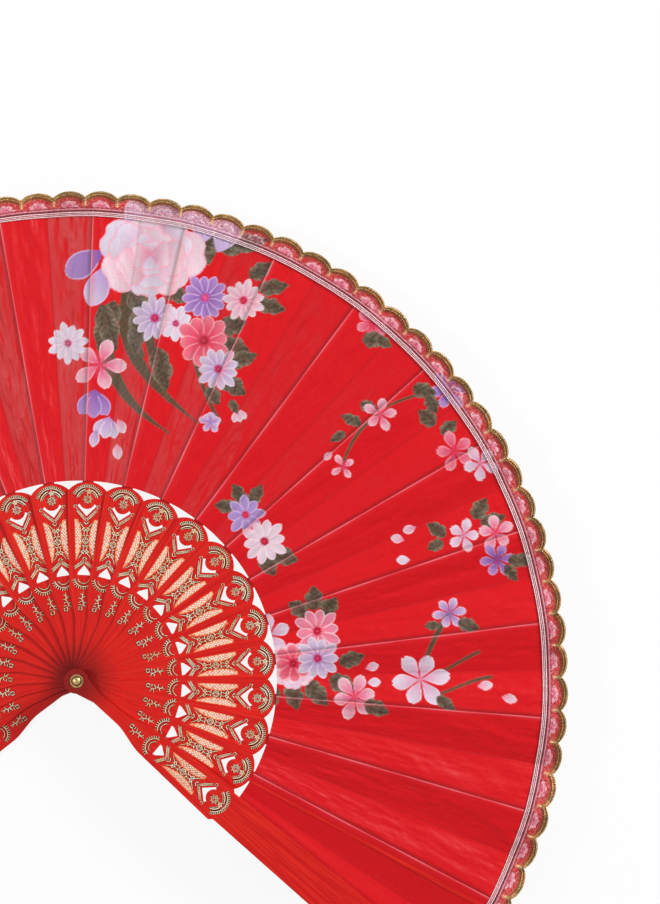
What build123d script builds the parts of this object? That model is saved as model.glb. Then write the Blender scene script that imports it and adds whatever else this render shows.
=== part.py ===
from build123d import *
import math
import os

# A folding hand fan, opened fully and lying on its back guard.
# Millimetres. +Z points up through the pile of sticks, the rivet's axis is +Z through the origin,
# z = 0 is the underside of the back guard, and +Y bisects the open fan.
# Member 0 is the back guard, members 1 to STICKS are the sticks, and the last is the front guard.
# Each member lies above the one before it and is turned one pitch further clockwise.

# The fan as a whole
STICKS = 21
PITCH = 11.6
SLOT_GAP = 0.15

# Blades: the pierced inner part of each member, as distances from the rivet
HEAD_RADIUS = 4.0
WAIST_Y = 12.0
WAIST_HALF = 2.2
THROAT_Y = 25.0
THROAT_HALF = 2.7
FLARE_LENGTH = 16.0
SHOULDER_LAP = 2.1
LOBE_LAP = 0.35
BLADE_THICKNESS = 0.85

# Piercings, one after the other up the blade
TENT_GAP = 5.6
TENT_HALF = 2.8
TENT_WALL = 1.2
TENT_HEIGHT = 4.4
LATTICE_GAP = 2.2
LATTICE_LENGTH = 18.4
LATTICE_REACH_SHARE = 0.70
LATTICE_PANEL_WAIST = 1.7
LATTICE_PANEL_FLARE = 2.2
HOLE_HALF = 0.42
HOLE_PITCH_X = 1.15
HOLE_PITCH_Y = 0.78
CHEVRON_GAP = 1.4
CHEVRON_HALF = 4.3
CHEVRON_DEPTH = 4.6
CHEVRON_THICKNESS = 3.2
CHEVRON_END = 1.3
LOBE_GAP = 6.4
LOBE_RISE = 4.5

# Slips: the thin upper part of each stick, under the leaf
SLIP_THICKNESS = 0.4
SLIP_FOOT_HALF = 2.5
SLIP_TIP_HALF = 2.2
SLIP_END_GAP = 1.5

# Leaf and lace
LEAF_GAP = 0.3
LEAF_REACH = 215.0
CLOTH_THICKNESS = 0.2
LACE_WIDTH = 7.8
LACE_THICKNESS = 0.15
SCALLOPS = 3
SCALLOP_RISE = 3.8

# Guards
GUARD_THICKNESS = 2.2
GUARD_HEAD_RADIUS = 5.5
GUARD_FOOT_HALF = 7.4
GUARD_TIP_HALF = 10.5
GUARD_TIP_ROUND = 6.0

# Rivet
PIN_RADIUS = 1.2
PIN_GAP = 0.05
WASHER_RADIUS = 3.0
WASHER_THICKNESS = 0.4
DOME_RADIUS = 2.3
DOME_HEIGHT = 1.1
RECESS_GAP = 0.2

# Places that follow from the sizes above
HALF_PITCH = math.radians(PITCH / 2)
MEMBERS = STICKS + 2
SHOULDER_Y = THROAT_Y + FLARE_LENGTH
TENT_Y = SHOULDER_Y + TENT_GAP
LATTICE_Y = TENT_Y + TENT_HEIGHT + LATTICE_GAP
CHEVRON_Y = LATTICE_Y + LATTICE_LENGTH + CHEVRON_GAP
LOBE_Y = CHEVRON_Y + CHEVRON_DEPTH + LOBE_GAP
LOBE_TOP = LOBE_Y + LOBE_RISE
LEAF_INNER = LOBE_TOP + LEAF_GAP
LACE_INNER = LEAF_REACH - LACE_WIDTH
LACE_REACH = LEAF_REACH + SCALLOP_RISE
SLIP_END = LACE_INNER - SLIP_END_GAP
LEAF_THICKNESS = CLOTH_THICKNESS + LACE_THICKNESS
SLOT = max(BLADE_THICKNESS, SLIP_THICKNESS + LEAF_THICKNESS) + SLOT_GAP
FIRST_SLOT_Z = GUARD_THICKNESS + LEAF_THICKNESS + SLOT_GAP
LAST_LEAF_Z = FIRST_SLOT_Z + STICKS * SLOT
FRONT_GUARD_Z = LAST_LEAF_Z + LEAF_THICKNESS
STACK_TOP = FRONT_GUARD_Z + GUARD_THICKNESS
RECESS_DEPTH = WASHER_THICKNESS + DOME_HEIGHT


def blade_half(y):
    """Half the blade's width at distance y, so that it laps over its neighbours by the named laps."""
    up = (y - SHOULDER_Y) / (LOBE_Y - SHOULDER_Y)
    return y * math.tan(HALF_PITCH) + SHOULDER_LAP + (LOBE_LAP - SHOULDER_LAP) * up


def blade_face(head_radius):
    """Outline of a blade: round head, waist, flare, straight sides and a round lobe."""
    shoulder_half = blade_half(SHOULDER_Y)
    lobe_half = blade_half(LOBE_Y)
    side_x = head_radius * math.cos(math.radians(40))
    side_y = head_radius * math.sin(math.radians(40))
    with BuildSketch() as blade:
        with BuildLine():
            ThreePointArc((0, -head_radius), (head_radius, 0), (side_x, side_y))
            Line((side_x, side_y), (WAIST_HALF, WAIST_Y))
            Line((WAIST_HALF, WAIST_Y), (THROAT_HALF, THROAT_Y))
            Bezier(
                (THROAT_HALF, THROAT_Y),
                (THROAT_HALF, THROAT_Y + FLARE_LENGTH / 3),
                (shoulder_half * 0.9, SHOULDER_Y - FLARE_LENGTH / 3),
                (shoulder_half, SHOULDER_Y),
            )
            Line((shoulder_half, SHOULDER_Y), (lobe_half, LOBE_Y))
            RadiusArc((lobe_half, LOBE_Y), (0, LOBE_TOP), -lobe_radius())
            Line((0, LOBE_TOP), (0, -head_radius))
        make_face()
        mirror(about=Plane.YZ)
    return blade.sketch


def lobe_radius():
    """Radius of the arc that crosses the blade at LOBE_Y and tops out at LOBE_TOP."""
    return (blade_half(LOBE_Y) ** 2 + LOBE_RISE**2) / (2 * LOBE_RISE)


def tent_face():
    """Low house-shaped opening whose ridge points outward."""
    corners = [
        (-TENT_HALF, TENT_Y),
        (TENT_HALF, TENT_Y),
        (TENT_HALF * 0.92, TENT_Y + TENT_WALL),
        (0, TENT_Y + TENT_HEIGHT),
        (-TENT_HALF * 0.92, TENT_Y + TENT_WALL),
    ]
    return make_face(Polyline(*corners, close=True))


def chevron_face():
    """Boomerang opening under the lobe: a straight V towards the rivet, a round edge towards the lobe."""
    tip_y = CHEVRON_Y
    end_y = CHEVRON_Y + CHEVRON_DEPTH
    arm = math.hypot(CHEVRON_HALF, CHEVRON_DEPTH)
    top_x = CHEVRON_HALF - CHEVRON_END * CHEVRON_DEPTH / arm
    top_y = end_y + CHEVRON_END * CHEVRON_HALF / arm
    with BuildSketch() as chevron:
        with BuildLine():
            Polyline((-top_x, top_y), (-CHEVRON_HALF, end_y), (0, tip_y), (CHEVRON_HALF, end_y), (top_x, top_y))
            ThreePointArc((top_x, top_y), (0, tip_y + CHEVRON_THICKNESS), (-top_x, top_y))
        make_face()
    return chevron.sketch


def lattice_holes():
    """Centres of the small holes in the two strips beside the waisted centre panel."""
    centres = []
    rows = int(LATTICE_LENGTH / HOLE_PITCH_Y)
    for row in range(1, rows):
        y = LATTICE_Y + row * HOLE_PITCH_Y
        off_middle = abs(2 * (y - LATTICE_Y) / LATTICE_LENGTH - 1)
        inner = LATTICE_PANEL_WAIST + LATTICE_PANEL_FLARE * off_middle**2
        outer = LATTICE_REACH_SHARE * y * math.tan(HALF_PITCH)
        for column in range(8):
            x = outer - HOLE_HALF - (column + 0.5 * (row % 2)) * HOLE_PITCH_X
            if x - HOLE_HALF > inner:
                centres += [(x, y), (-x, y)]
    return centres


def pierced_blade(head_radius, thickness):
    """A blade with its bore, its two openings and its lattice, standing on z = 0."""
    face = blade_face(head_radius)
    face -= Circle(PIN_RADIUS + PIN_GAP)
    face -= tent_face()
    face -= chevron_face()
    hole = Rectangle(HOLE_HALF * math.sqrt(2), HOLE_HALF * math.sqrt(2), rotation=45)
    face -= [Pos(x, y) * hole for x, y in lattice_holes()]
    return extrude(face, thickness)


def make_stick():
    """One stick in its own slot: pierced blade, with the thin slip running out under the leaf."""
    foot_y = LOBE_Y
    slip_outline = [
        (-SLIP_FOOT_HALF, foot_y),
        (SLIP_FOOT_HALF, foot_y),
        (SLIP_TIP_HALF, SLIP_END),
        (-SLIP_TIP_HALF, SLIP_END),
    ]
    slip = extrude(make_face(Polyline(*slip_outline, close=True)), SLIP_THICKNESS)
    return pierced_blade(HEAD_RADIUS, BLADE_THICKNESS) + slip


def make_guard():
    """A guard standing on z = 0: a thick pierced blade that runs on as a plain tapered bar to the lace."""
    with BuildSketch() as bar:
        with BuildLine():
            Polyline(
                (0, LOBE_Y),
                (GUARD_FOOT_HALF, LOBE_Y),
                (GUARD_TIP_HALF, LACE_REACH),
                (0, LACE_REACH),
                close=True,
            )
        make_face()
        mirror(about=Plane.YZ)
        tips = bar.vertices().sort_by(Axis.Y)[-2:]
        fillet(tips, min(GUARD_TIP_ROUND, 0.9 * GUARD_TIP_HALF))
    return pierced_blade(GUARD_HEAD_RADIUS, GUARD_THICKNESS) + extrude(bar.sketch, GUARD_THICKNESS)


def rivet_recess(z, up):
    """Counterbore that sinks a washer and the rivet's end below a guard's face at height z."""
    deep = RECESS_DEPTH + RECESS_GAP
    return Pos(0, 0, z + (deep / 2 if up else -deep / 2)) * Cylinder(WASHER_RADIUS + RECESS_GAP, deep)


def ray(radius, degrees):
    """Point at a radius, at an angle counter-clockwise from local +Y."""
    turn = math.radians(degrees)
    return (-radius * math.sin(turn), radius * math.cos(turn))


def sector(inner, outer, start, end):
    """Flat ring sector between two angles, counter-clockwise from +Y."""
    middle = (start + end) / 2
    with BuildSketch() as piece:
        with BuildLine():
            ThreePointArc(ray(inner, start), ray(inner, middle), ray(inner, end))
            Line(ray(inner, end), ray(outer, end))
            ThreePointArc(ray(outer, end), ray(outer, middle), ray(outer, start))
            Line(ray(outer, start), ray(inner, start))
        make_face()
    return piece.sketch


def lace_edge(start, end):
    """Lace band between two angles, with a scalloped outer edge of equal arcs."""
    step = PITCH / SCALLOPS
    count = round((end - start) / step * 2) / 2
    with BuildSketch() as band:
        with BuildLine():
            here = end
            Line(ray(LACE_INNER, end), ray(LEAF_REACH, end))
            while count > 0.75:
                there = here - step
                crown = ray(LACE_REACH, here - step / 2)
                ThreePointArc(ray(LEAF_REACH, here), crown, ray(LEAF_REACH, there))
                here = there
                count -= 1
            if count > 0.25:
                shoulder = ray(LEAF_REACH + 0.78 * SCALLOP_RISE, here - step / 4)
                ThreePointArc(ray(LEAF_REACH, here), shoulder, ray(LACE_REACH, start))
                Line(ray(LACE_REACH, start), ray(LACE_INNER, start))
            else:
                Line(ray(LEAF_REACH, start), ray(LACE_INNER, start))
            middle = ray(LACE_INNER, (start + end) / 2)
            ThreePointArc(ray(LACE_INNER, start), middle, ray(LACE_INNER, end))
        make_face()
    return band.sketch


def make_panel(start, end):
    """The stretch of leaf that one member carries: cloth, with the lace sewn on top of its edge."""
    cloth = extrude(sector(LEAF_INNER, LEAF_REACH, start, end), CLOTH_THICKNESS)
    lace = Pos(0, 0, CLOTH_THICKNESS) * extrude(lace_edge(start, end), LACE_THICKNESS)
    return [cloth, lace]


def placed(shape, member, z):
    """A shape drawn along +Y, turned to a member's place in the open fan and raised to height z."""
    turn = (MEMBERS - 1) * PITCH / 2 - member * PITCH
    return Pos(0, 0, z) * Rot(0, 0, turn) * shape


def write(name, solids):
    """Writes one node."""
    export_step(Compound(children=list(solids), label=name), "parts/" + name + ".step")


def write_members():
    """Both guards and every stick."""
    back = placed(make_guard(), 0, 0) - rivet_recess(0, up=True)
    front = placed(make_guard(), MEMBERS - 1, FRONT_GUARD_Z) - rivet_recess(STACK_TOP, up=False)
    write("back_guard", [back.solid()])
    write("front_guard", [front.solid()])
    stick = make_stick()
    for number in range(1, STICKS + 1):
        solid = placed(stick, number, FIRST_SLOT_Z + (number - 1) * SLOT).solid()
        write(f"stick_{number:02d}", [solid])


def write_leaf():
    """The leaf, as one stretch for each member that carries it."""
    half = PITCH / 2
    full = make_panel(-half, half)
    back = make_panel(-half, 0)
    front = [mirror(piece, about=Plane.YZ) for piece in back]
    write("leaf_end_back", [placed(piece, 0, GUARD_THICKNESS).solid() for piece in back])
    write("leaf_end_front", [placed(piece, MEMBERS - 1, LAST_LEAF_Z).solid() for piece in front])
    for number in range(1, STICKS + 1):
        z = FIRST_SLOT_Z + (number - 1) * SLOT + SLIP_THICKNESS
        write(f"leaf_panel_{number:02d}", [placed(piece, number, z).solid() for piece in full])


def dome(radius, height):
    """Spherical cap standing on z = 0."""
    sphere_radius = (radius**2 + height**2) / (2 * height)
    ball = Pos(0, 0, height - sphere_radius) * Sphere(sphere_radius)
    return ball & Pos(0, 0, height / 2) * Cylinder(radius, height)


def write_rivet():
    """Rivet with its formed ends, and a washer under each end."""
    low = RECESS_DEPTH
    high = STACK_TOP - RECESS_DEPTH
    washer = Cylinder(WASHER_RADIUS, WASHER_THICKNESS) - Cylinder(PIN_RADIUS + PIN_GAP, WASHER_THICKNESS)
    under = low + RECESS_GAP - WASHER_THICKNESS / 2
    over = high - RECESS_GAP + WASHER_THICKNESS / 2
    write("rivet_washer_back", [(Pos(0, 0, under) * washer).solid()])
    write("rivet_washer_front", [(Pos(0, 0, over) * washer).solid()])
    foot = under - WASHER_THICKNESS / 2
    top = over + WASHER_THICKNESS / 2
    shaft = Pos(0, 0, (foot + top) / 2) * Cylinder(PIN_RADIUS, top - foot)
    head = Pos(0, 0, top) * dome(DOME_RADIUS, DOME_HEIGHT)
    tail = Pos(0, 0, foot) * mirror(dome(DOME_RADIUS, DOME_HEIGHT), about=Plane.XY)
    write("rivet", [(shaft + head + tail).solid()])


os.makedirs("parts", exist_ok=True)
write_members()
write_leaf()
write_rivet()
print("slot", round(SLOT, 3), "stack height", round(STACK_TOP, 3), "lobe top", round(LOBE_TOP, 3))
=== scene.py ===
import math

import bpy
import numpy as np
from mathutils import Euler, Matrix, Vector


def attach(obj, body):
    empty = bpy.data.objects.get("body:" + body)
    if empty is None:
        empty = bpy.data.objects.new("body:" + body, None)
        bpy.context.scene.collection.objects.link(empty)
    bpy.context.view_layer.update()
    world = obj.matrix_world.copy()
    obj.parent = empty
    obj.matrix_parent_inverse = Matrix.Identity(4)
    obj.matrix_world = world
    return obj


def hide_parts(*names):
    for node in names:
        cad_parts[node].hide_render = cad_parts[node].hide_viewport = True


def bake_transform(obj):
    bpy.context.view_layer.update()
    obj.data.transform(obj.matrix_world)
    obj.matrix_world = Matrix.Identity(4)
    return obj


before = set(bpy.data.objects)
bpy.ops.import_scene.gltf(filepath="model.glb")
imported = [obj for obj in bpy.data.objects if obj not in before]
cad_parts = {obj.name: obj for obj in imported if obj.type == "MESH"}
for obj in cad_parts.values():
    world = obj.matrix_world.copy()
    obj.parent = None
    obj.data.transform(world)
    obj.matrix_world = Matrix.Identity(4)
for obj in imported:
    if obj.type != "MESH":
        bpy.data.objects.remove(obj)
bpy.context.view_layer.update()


# The room: a pale floor that the open fan lies on, a large soft lamp to the upper right, a weaker
# one to the left, and a plain white surround. The camera hangs straight above the fan's right
# half, turned very slightly.
class Wire:
    """A value in a node tree. Arithmetic on it adds Math nodes to the same tree."""

    def __init__(self, tree, socket=None):
        self.tree = tree
        self.socket = socket

    def add(self, kind, settings=None, sockets=None, out=0):
        """Adds a node, with its settings made first, and gives the wire from one of its outputs."""
        node = self.tree.nodes.new(kind)
        for name, value in (settings or {}).items():
            setattr(node, name, value)
        for name, value in (sockets or {}).items():
            if isinstance(value, Wire):
                self.tree.links.new(value.socket, node.inputs[name])
            else:
                node.inputs[name].default_value = value
        return Wire(self.tree, node.outputs[out] if len(node.outputs) else None)

    def math(self, operation, *values):
        return self.add("ShaderNodeMath", {"operation": operation}, dict(enumerate(values)))

    def __add__(self, other):
        return self.math("ADD", self, other)

    def __radd__(self, other):
        return self.math("ADD", other, self)

    def __sub__(self, other):
        return self.math("SUBTRACT", self, other)

    def __rsub__(self, other):
        return self.math("SUBTRACT", other, self)

    def __mul__(self, other):
        return self.math("MULTIPLY", self, other)

    def __rmul__(self, other):
        return self.math("MULTIPLY", other, self)

    def __truediv__(self, other):
        return self.math("DIVIDE", self, other)

    def __gt__(self, other):
        return self.math("GREATER_THAN", self, other)

    def __abs__(self):
        return self.math("ABSOLUTE", self)

    def between(self, low, high):
        """0 below low, 1 above high, and smooth between them."""
        sockets = {"Value": self, "From Min": low, "From Max": high}
        return self.add("ShaderNodeMapRange", {"interpolation_type": "SMOOTHSTEP"}, sockets)

    def mix(self, start, end):
        """Colour start where this wire is 0, colour end where it is 1."""
        settings = {"data_type": "RGBA"}
        return self.add("ShaderNodeMix", settings, {0: self, 6: start, 7: end}, out=2)

    def split(self):
        """The three numbers of a vector."""
        node = self.add("ShaderNodeSeparateXYZ", None, {0: self}).socket.node
        return [Wire(self.tree, socket) for socket in node.outputs]

    def place(self):
        """The position in the piece's own frame, in metres."""
        return self.add("ShaderNodeTexCoord", None, None, out="Object")

    def noise(self, spot, scale, detail, roughness=0.5):
        """Soft random patches, from about 0 to 1."""
        sockets = {"Vector": spot, "Scale": scale, "Detail": detail, "Roughness": roughness}
        return self.add("ShaderNodeTexNoise", None, sockets)

    def bump(self, strength, distance, height):
        """Fine relief in the surface, distance in metres."""
        sockets = {"Strength": strength, "Distance": distance, "Height": height}
        return self.add("ShaderNodeBump", None, sockets)

    def finish(self, colour, rough, normal=None, more=None):
        """Closes a material with one surface shader; more holds its other sockets."""
        sockets = {"Base Color": colour, "Roughness": rough, **(more or {})}
        if normal:
            sockets["Normal"] = normal
        shader = self.add("ShaderNodeBsdfPrincipled", None, sockets)
        self.add("ShaderNodeOutputMaterial", None, {"Surface": shader})


def sight(name):
    """A material and the start of its node tree, with nothing in it."""
    material = bpy.data.materials.new(name)
    material.use_nodes = True
    material.node_tree.nodes.clear()
    return material, Wire(material.node_tree)


def rays(light, *kinds):
    """1 on rays of these kinds, such as those from the camera, and 0 on the others."""
    paths = light.add("ShaderNodeLightPath").socket.node.outputs
    share = Wire(light.tree, paths[f"Is {kinds[0]} Ray"])
    for kind in kinds[1:]:
        share = light.math("MAXIMUM", share, Wire(light.tree, paths[f"Is {kind} Ray"]))
    return share


def shown(name, data):
    """A new object, linked into the scene."""
    thing = bpy.data.objects.new(name, data)
    bpy.context.scene.collection.objects.link(thing)
    return thing


floor_material, room = sight("pale_floor")
seen_straight = rays(room, "Camera", "Glossy", "Transmission")
floor_grain = room.add("ShaderNodeTexNoise", None, {"Scale": 9.0, "Detail": 3.0})
floor_colour = floor_grain.mix((0.93, 0.93, 0.93, 1), (0.96, 0.96, 0.96, 1))
floor_matt = room.add("ShaderNodeBsdfDiffuse", None, {"Color": floor_colour})
floor_white = room.add("ShaderNodeEmission", None, {"Color": (1, 1, 1, 1), "Strength": 1.0})
floor_layers = {0: seen_straight * 0.90, 1: floor_matt, 2: floor_white}
floor_mix = room.add("ShaderNodeMixShader", None, floor_layers)
room.add("ShaderNodeOutputMaterial", None, {"Surface": floor_mix})
floor_half = 9.0
floor_top = -0.0003
floor_mesh = bpy.data.meshes.new("floor")
corner_signs = ((-1, -1), (1, -1), (1, 1), (-1, 1))
floor_corners = [(x * floor_half, y * floor_half, floor_top) for x, y in corner_signs]
floor_mesh.from_pydata(floor_corners, [], [(0, 1, 2, 3)])
floor_mesh.materials.append(floor_material)
floor = shown("floor", floor_mesh)

surround = bpy.data.worlds.new("surround")
surround.use_nodes = True
surround.node_tree.nodes.clear()
sky = Wire(surround.node_tree)
sky_strength = 0.32 + rays(sky, "Camera", "Transmission") * 0.68 + rays(sky, "Glossy") * 0.20
sky_light = sky.add("ShaderNodeBackground", None, {"Color": (1, 1, 1, 1), "Strength": sky_strength})
sky.add("ShaderNodeOutputWorld", None, {"Surface": sky_light})
bpy.context.scene.world = surround

lamp_aim = Vector((0.06, 0.06, 0.0))
lamps = (("softbox", 38, 33, 1.9, 0.6, 30.0), ("side_lamp", 176, 50, 1.7, 0.3, 8.5))
for name, bearing, lift, far, size, energy in lamps:
    lamp_data = bpy.data.lights.new(name, "AREA")
    lamp_data.size = size
    lamp_data.energy = energy
    lamp_data.color = (1.0, 0.99, 0.97)
    lamp = shown(name, lamp_data)
    turn = math.radians(bearing)
    rise = math.radians(lift)
    way = Vector((math.cos(rise) * math.cos(turn), math.cos(rise) * math.sin(turn), math.sin(rise)))
    lamp.location = lamp_aim + way * far
    lamp.rotation_euler = way.to_track_quat("Z", "Y").to_euler()

camera_data = bpy.data.cameras.new("camera")
camera_data.lens = 107.1
camera_data.sensor_width = 36.0
camera = shown("camera", camera_data)
camera.location = (0.1076, 0.1068, 1.218)
camera.rotation_euler = (0, 0, math.radians(2.68))
bpy.context.scene.camera = camera
bpy.context.scene.view_settings.view_transform = "Standard"


# Sticks and guards: glossy red plastic, injection moulded, with flow streaks running out from the rivet,
# darkened near it by painted shade from the deep stack and a little dirt, and gold foil pressed over
# the fine lattice strips.
PITCH = 11.6
STICKS = 21
MEMBERS = STICKS + 2
OPEN_LEFT = 90 + PITCH * (MEMBERS - 1) / 2
lattice_start = 53.2
lattice_length = 18.4
lattice_share = 0.70
lattice_waist = 1.7
lattice_flare = 2.2

stick_names = [f"stick_{number:02d}" for number in range(1, STICKS + 1)]
member_names = ["back_guard", *stick_names, "front_guard"]

plastic, wax = sight("red_plastic")
place = wax.place()
x, y, z = place.split()
x = x * 1000
y = y * 1000
radius = wax.math("SQRT", x * x + y * y)
bearing = wax.math("ARCTAN2", y, x) * (180 / math.pi)
local = wax.math("PINGPONG", bearing - (90 - PITCH), PITCH / 2)
from_line = wax.math("ABSOLUTE", radius * wax.math("SINE", local * (math.pi / 180)))
along = radius * wax.math("COSINE", local * (math.pi / 180))
streak_axes = {"X": bearing * 2.4, "Y": radius * 0.035, "Z": z * 1000}
streak_place = wax.add("ShaderNodeCombineXYZ", None, streak_axes)
streaks = wax.noise(streak_place, 1.0, 4.0, roughness=0.6)
mottle = wax.noise(place, 420.0, 3.0)
plain_red = streaks.between(0.32, 0.70).mix((0.56, 0.004, 0.004, 1), (0.80, 0.024, 0.012, 1))
plain_red = (mottle.between(0.35, 0.8) * 0.35).mix(plain_red, (0.70, 0.006, 0.012, 1))
# Darker towards the rivet: painted shade where the stack of members is deepest, with a little dirt.
rivet_shade_and_dirt = 1 - radius.between(2.0, 22.0)
plain_red = (rivet_shade_and_dirt * (0.55 + 0.4 * streaks)).mix(plain_red, (0.10, 0.004, 0.004, 1))
spread = (along - lattice_start) / (lattice_length / 2) - 1
strip_inner = lattice_waist + lattice_flare * spread * spread
strip_outer = lattice_share * math.tan(math.radians(PITCH / 2)) * along
in_strip = (from_line - strip_inner).between(-0.25, 0.05) * (strip_outer - from_line).between(-0.3, 0.0)
lattice_end = lattice_start + lattice_length
in_strip = in_strip * along.between(lattice_start - 0.2, lattice_start + 0.1)
in_strip = in_strip * (1 - along.between(lattice_end - 0.3, lattice_end))
foil_wear = wax.noise(place, 900.0, 2.0)
foil_colour = foil_wear.between(0.35, 0.65).mix((0.80, 0.20, 0.09, 1), (0.98, 0.52, 0.24, 1))
foil_on = in_strip * foil_wear.between(0.22, 0.36)
facing_up = wax.add("ShaderNodeTexCoord", None, None, out="Normal").split()[2]
foil_on = foil_on * (z * 1000 > 0.1) * (facing_up > 0.5)
plastic_colour = foil_on.mix(plain_red, foil_colour)
scuffs = wax.noise(place, 160.0, 6.0, roughness=0.7)
plastic_rough = 0.24 + 0.16 * scuffs + foil_on * 0.14
ripple = wax.bump(0.25, 0.0002, streaks + 0.3 * scuffs)
gloss = {"Specular IOR Level": 0.22, "Coat Weight": 0.08, "Coat Roughness": 0.12}
wax.finish(plastic_colour, plastic_rough, ripple, gloss)

for name in member_names:
    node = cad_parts[name]
    node.data.materials.clear()
    node.data.materials.append(plastic)


# Stamping: gold foil lines, each over a wider dark red edge that is painted shade round the raised
# foil, a little proud of each member: a sprig, a toothed half sun under the house-shaped opening, a
# rose panel between the lattices, and a toothed crescent with a rose on the lobe.
gold_foil, leafing = sight("stamped_gold")
place = leafing.place()
speckle = leafing.noise(place, 1400.0, 3.0)
tone = leafing.noise(place, 130.0, 2.0)
foil = tone.between(0.3, 0.7).mix((1.0, 0.64, 0.34, 1), (1.0, 0.90, 0.66, 1))
foil = (speckle.between(0.58, 0.68) * 0.5).mix(foil, (0.45, 0.12, 0.05, 1))
foil_bump = leafing.bump(0.3, 0.0001, speckle)
leafing.finish(foil, 0.30 + 0.2 * speckle, foil_bump, {"Metallic": 0.15})

# The dark edge round every gold line is painted shade: the shadow the raised foil would cast.
painted_shade_edge, shade_edge_nodes = sight("stamped_shade_edge")
place = shade_edge_nodes.place()
shade_edge_mottle = shade_edge_nodes.noise(place, 700.0, 3.0)
shade_edge_colour = shade_edge_mottle.between(0.3, 0.7).mix((0.03, 0.004, 0.003, 1), (0.22, 0.008, 0.006, 1))
shade_edge_nodes.finish(shade_edge_colour, 0.35 + 0.2 * shade_edge_mottle)


def tree_with(name, inputs):
    """A Geometry Nodes tree with named inputs: its wires, and the inputs' identifiers."""
    tree = bpy.data.node_groups.new(name, "GeometryNodeTree")
    tree.interface.new_socket("Geometry", in_out="OUTPUT", socket_type="NodeSocketGeometry")
    named = {}
    for label, kind in inputs.items():
        item = tree.interface.new_socket(label, in_out="INPUT", socket_type="NodeSocket" + kind)
        named[label] = item.identifier
    entry = tree.nodes.new("NodeGroupInput")
    wires = {label: Wire(tree, entry.outputs[label]) for label in inputs}
    return Wire(tree), wires, named


def end_tree(grow, geometry):
    """Closes a tree: instances made real, shaded smooth, and out."""
    real = grow.add("GeometryNodeRealizeInstances", None, {"Geometry": geometry})
    even = grow.add("GeometryNodeSetShadeSmooth", None, {"Geometry": real, "Shade Smooth": True})
    leave = grow.tree.nodes.new("NodeGroupOutput")
    grow.tree.links.new(even.socket, leave.inputs[0])


def grown(name, start_mesh, tree, named, settings):
    """Runs a tree on a mesh with these settings, and gives the plain object that comes out."""
    piece = shown(name, start_mesh)
    modifier = piece.modifiers.new("grow", "NODES")
    modifier.node_group = tree
    for label, value in settings.items():
        modifier[named[label]] = value
    graph = bpy.context.evaluated_depsgraph_get()
    result = bpy.data.meshes.new_from_object(piece.evaluated_get(graph))
    piece.modifiers.clear()
    piece.data = result
    result.name = name
    return piece


stamp_inputs = {"Lines": "Geometry", "Line width": "Float", "Shade rim width": "Float", "Proud": "Float"}
stamp_inputs |= {"Gold": "Material", "Shade rim": "Material"}
press, wires, press_named = tree_with("stamped_lines", stamp_inputs)
swell = press.add("GeometryNodeInputNamedAttribute", {"data_type": "FLOAT"}, {"Name": "swell"})
strokes = press.add("GeometryNodeMeshToCurve", None, {"Mesh": wires["Lines"]})


def pressed(sides, width, height, material):
    """The strokes swept with a flattened round section."""
    circle = {"Resolution": sides, "Radius": width * 0.5}
    section = press.add("GeometryNodeCurvePrimitiveCircle", None, circle)
    sockets = {"Curve": strokes, "Profile Curve": section, "Scale": swell, "Fill Caps": True}
    bead = press.add("GeometryNodeCurveToMesh", None, sockets)
    squeeze = press.add("ShaderNodeCombineXYZ", None, {"X": 1.0, "Y": 1.0, "Z": height / (width * 0.5)})
    flat = press.add("GeometryNodeTransform", None, {"Geometry": bead, "Scale": squeeze})
    return press.add("GeometryNodeSetMaterial", None, {"Geometry": flat, "Material": material})


gold_lines = pressed(6, wires["Line width"], wires["Proud"], wires["Gold"])
# A wider, lower dark stroke under each gold line: painted shade round the foil.
shade_edge_lines = pressed(4, wires["Line width"] + wires["Shade rim width"], wires["Proud"] * 0.45, wires["Shade rim"])
both = press.add("GeometryNodeJoinGeometry")
for layer in (gold_lines, shade_edge_lines):
    press.tree.links.new(layer.socket, both.socket.node.inputs[0])
end_tree(press, both)


def arc_points(centre, reach, start, end, count):
    """Points on an arc, degrees counter-clockwise from the local +X."""
    turns = [math.radians(start + (end - start) * step / (count - 1)) for step in range(count)]
    return [(centre[0] + reach * math.cos(turn), centre[1] + reach * math.sin(turn)) for turn in turns]


def mirrored(points):
    return [(-across, out) for across, out in points]


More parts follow.
